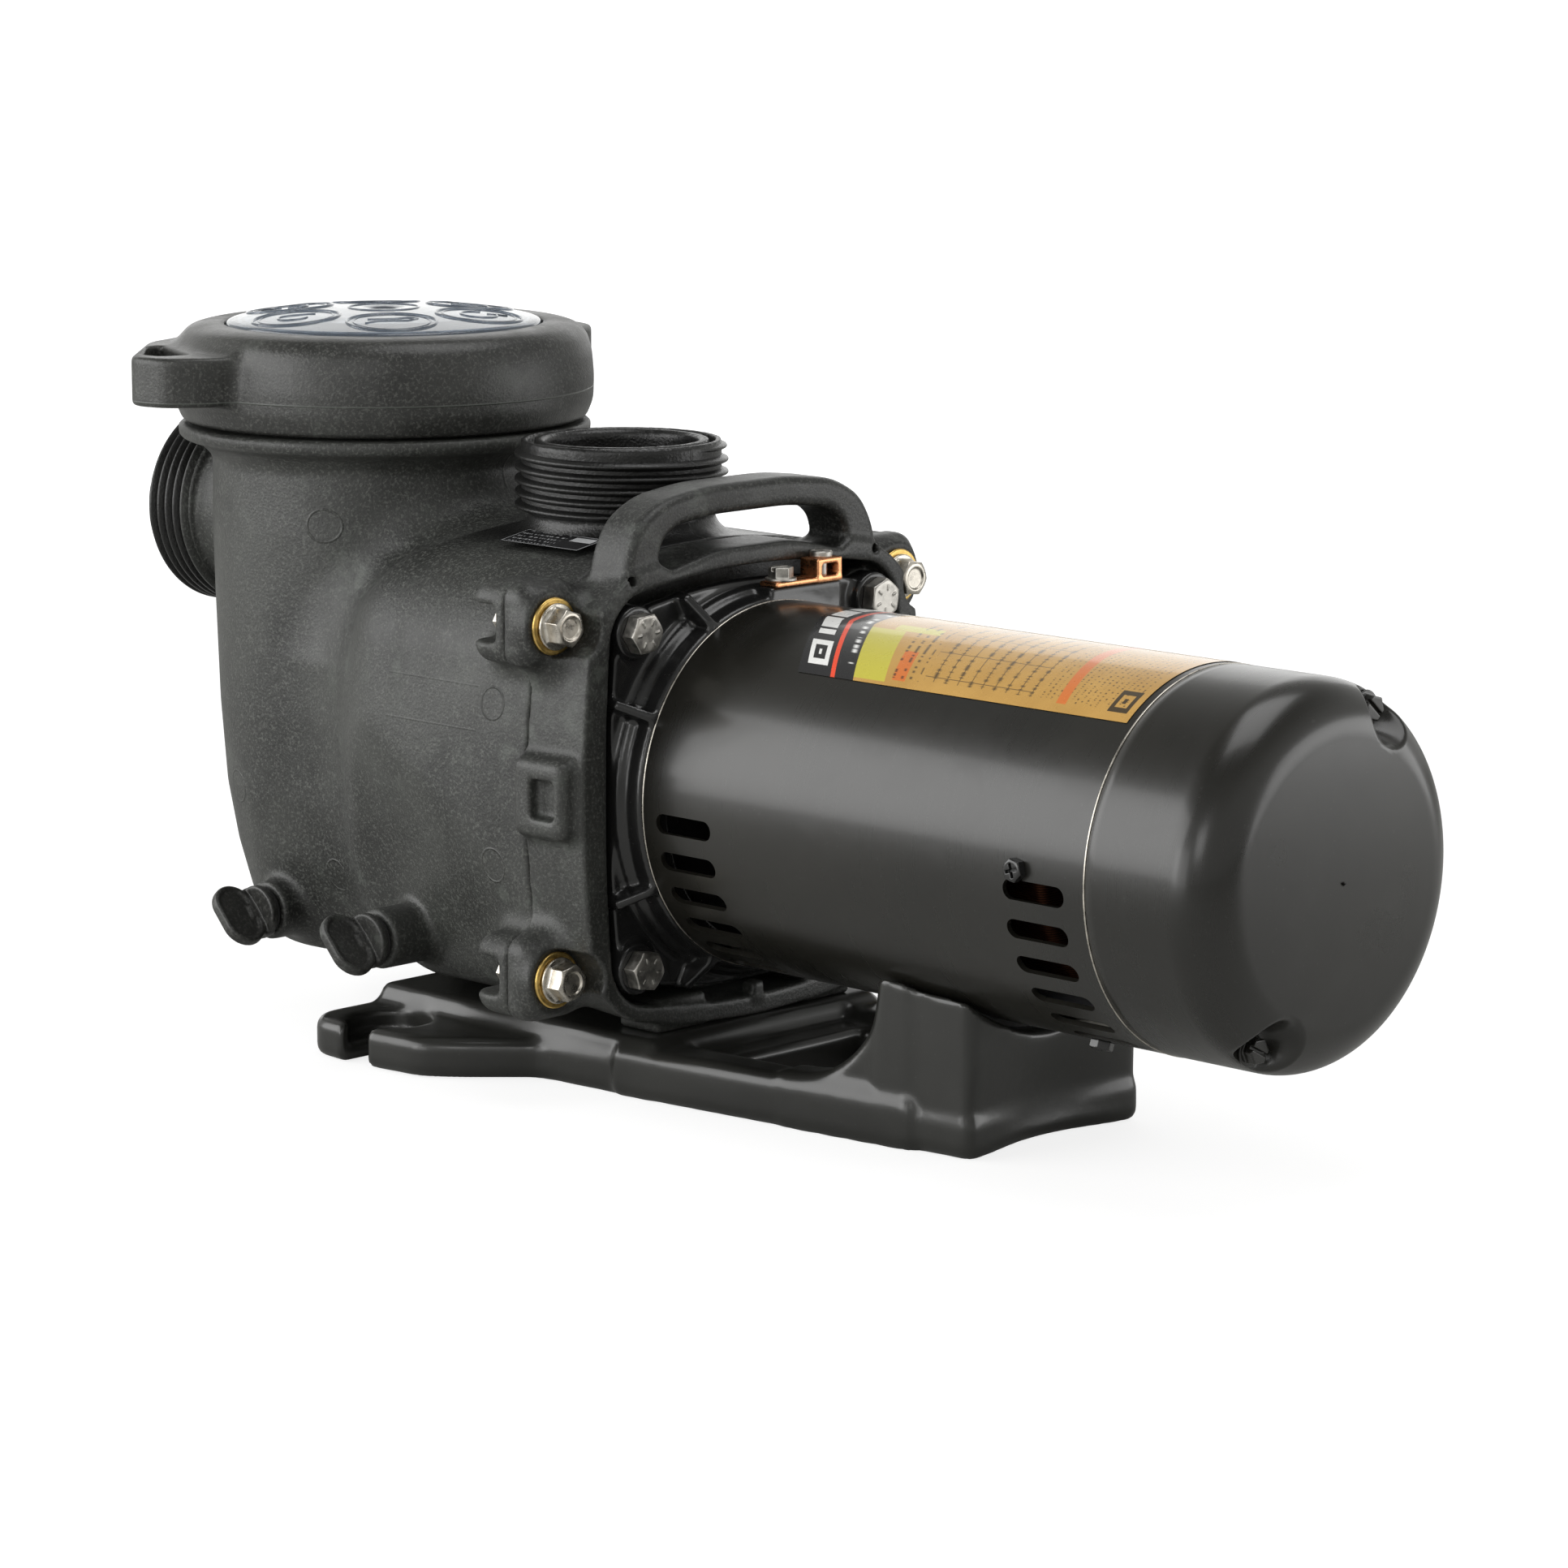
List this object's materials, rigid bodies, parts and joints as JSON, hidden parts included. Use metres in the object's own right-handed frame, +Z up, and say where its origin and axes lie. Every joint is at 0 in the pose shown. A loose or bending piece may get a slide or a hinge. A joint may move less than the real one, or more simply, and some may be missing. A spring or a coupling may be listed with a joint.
{
  "type": "pool pump",
  "caption": "Self-priming pool pump: strainer pot with a clear locking lid, threaded suction and discharge ports, seal plate with carrying handle, motor and moulded base.",
  "frame": {"origin": "on the floor, in the pump's mid-plane, on the line through the two mounting slots of the base", "axes": "+X along the shaft towards the motor, +Y to the far side, +Z up, in line with the discharge port"},
  "size_m": [0.6138, 0.2353, 0.2866],
  "materials": {
    "housing_plastic": "fine grained black",
    "ring_plastic": "fine grained black",
    "clear_plastic": "clear",
    "basket_plastic": "natural white",
    "black_rubber": "matt",
    "stainless": "satin",
    "yellow_zinc": "yellow passivated",
    "zinc_steel": "dull zinc",
    "black_casting": "gloss black paint",
    "shell_paint": "gloss black paint",
    "lamination_steel": "blued",
    "copper_wire": "enamelled",
    "rotor_aluminium": "cast",
    "bearing_steel": "ground",
    "shaft_steel": "ground",
    "impeller_plastic": "moulded",
    "diffuser_plastic": "moulded",
    "ceramic": "polished",
    "carbon": "lapped",
    "board_plastic": "phenolic",
    "capacitor_case": "moulded",
    "copper_lug": "bright copper",
    "motor_sheet": "printed sheet",
    "pump_sheet": "printed sheet",
    "base_plastic": "semi-gloss black",
    "plug_plastic": "semi-gloss black",
    "fan_plastic": "moulded",
    "bracket_plastic": "fine grained black"
  },
  "bodies": {
    "pump": {"pump_body": "housing_plastic", "diffuser": "diffuser_plastic", "diffuser_o_ring": "black_rubber", "wear_ring": "stainless", "seal_seat": "ceramic", "seal_seat_cup": "black_rubber", "housing_o_ring": "black_rubber", "motor_bracket": "bracket_plastic", "housing_bolts": "stainless", "housing_washers": "yellow_zinc", "captive_nuts": "stainless", "flange_bolts": "zinc_steel", "end_bell": "black_casting", "motor_shell": "shell_paint", "shell_screws": "shell_paint", "stator_core": "lamination_steel", "stator_windings": "copper_wire", "front_bearing_outer": "bearing_steel", "rear_bearing_outer": "bearing_steel", "wave_washer": "stainless", "rear_bell": "black_casting", "through_bolts": "zinc_steel", "switch_board": "board_plastic", "start_capacitor": "capacitor_case", "canopy": "shell_paint", "canopy_screws": "shell_paint", "ground_lug": "copper_lug", "ground_lug_screws": "stainless", "motor_label": "motor_sheet", "pump_label": "pump_sheet", "base": "base_plastic", "base_bolts": "stainless", "motor_pad": "black_rubber"},
    "rotor": {"impeller": "impeller_plastic", "impeller_screw": "stainless", "seal_head": "carbon", "seal_spring": "stainless", "rotor_core": "rotor_aluminium", "motor_shaft": "shaft_steel", "front_bearing_inner": "bearing_steel", "rear_bearing_inner": "bearing_steel", "shaft_slinger": "black_rubber", "cooling_fan": "fan_plastic", "governor": "board_plastic"},
    "lid_cover": {"lid_window": "clear_plastic", "lid_o_ring": "black_rubber"},
    "lock_ring": {"lid_lock_ring": "ring_plastic"},
    "basket": {"strainer_basket": "basket_plastic", "basket_handle": "basket_plastic"},
    "pot_drain_seal": {"drain_o_ring_pot": "black_rubber"},
    "pot_drain_plug": {"drain_plug_pot": "plug_plastic"},
    "volute_drain_seal": {"drain_o_ring_volute": "black_rubber"},
    "volute_drain_plug": {"drain_plug_volute": "plug_plastic"}
  },
  "joints": [
    {"name": "shaft_spin", "type": "hinge", "parent": "pump", "child": "rotor", "pos_m": [0.1306, 0, 0.1166], "axis": [1, 0, 0], "continuous": true},
    {"name": "lid_lift", "type": "slide", "parent": "pump", "child": "lid_cover", "axis": [0, 0, 1], "range_m": [0, 0.42]},
    {"name": "lid_turn", "type": "hinge", "parent": "lid_cover", "child": "lock_ring", "pos_m": [-0.0957, 0, 0.26], "axis": [0, 0, 1], "range_deg": [-58, 0]},
    {"name": "basket_lift", "type": "slide", "parent": "pump", "child": "basket", "axis": [0, 0, 1], "range_m": [0, 0.22]},
    {"name": "pot_drain_slide", "type": "slide", "parent": "pump", "child": "pot_drain_seal", "axis": [0, -1, 0], "range_m": [0, 0.0155]},
    {"name": "pot_drain_turn", "type": "hinge", "parent": "pot_drain_seal", "child": "pot_drain_plug", "pos_m": [-0.0957, -0.068, 0.0435], "axis": [0, -1, 0], "range_deg": [0, 1800]},
    {"name": "volute_drain_slide", "type": "slide", "parent": "pump", "child": "volute_drain_seal", "axis": [0, -1, 0], "range_m": [0, 0.0155]},
    {"name": "volute_drain_turn", "type": "hinge", "parent": "volute_drain_seal", "child": "volute_drain_plug", "pos_m": [0.0032, -0.095, 0.0502], "axis": [0, -1, 0], "range_deg": [0, 1800]}
  ],
  "couplings": [
    {"joint": "basket_lift", "follows": "lid_lift", "ratio": 0.5},
    {"joint": "pot_drain_slide", "follows": "pot_drain_turn", "m_per_rad": 0.00047746},
    {"joint": "volute_drain_slide", "follows": "volute_drain_turn", "m_per_rad": 0.00047746}
  ]
}
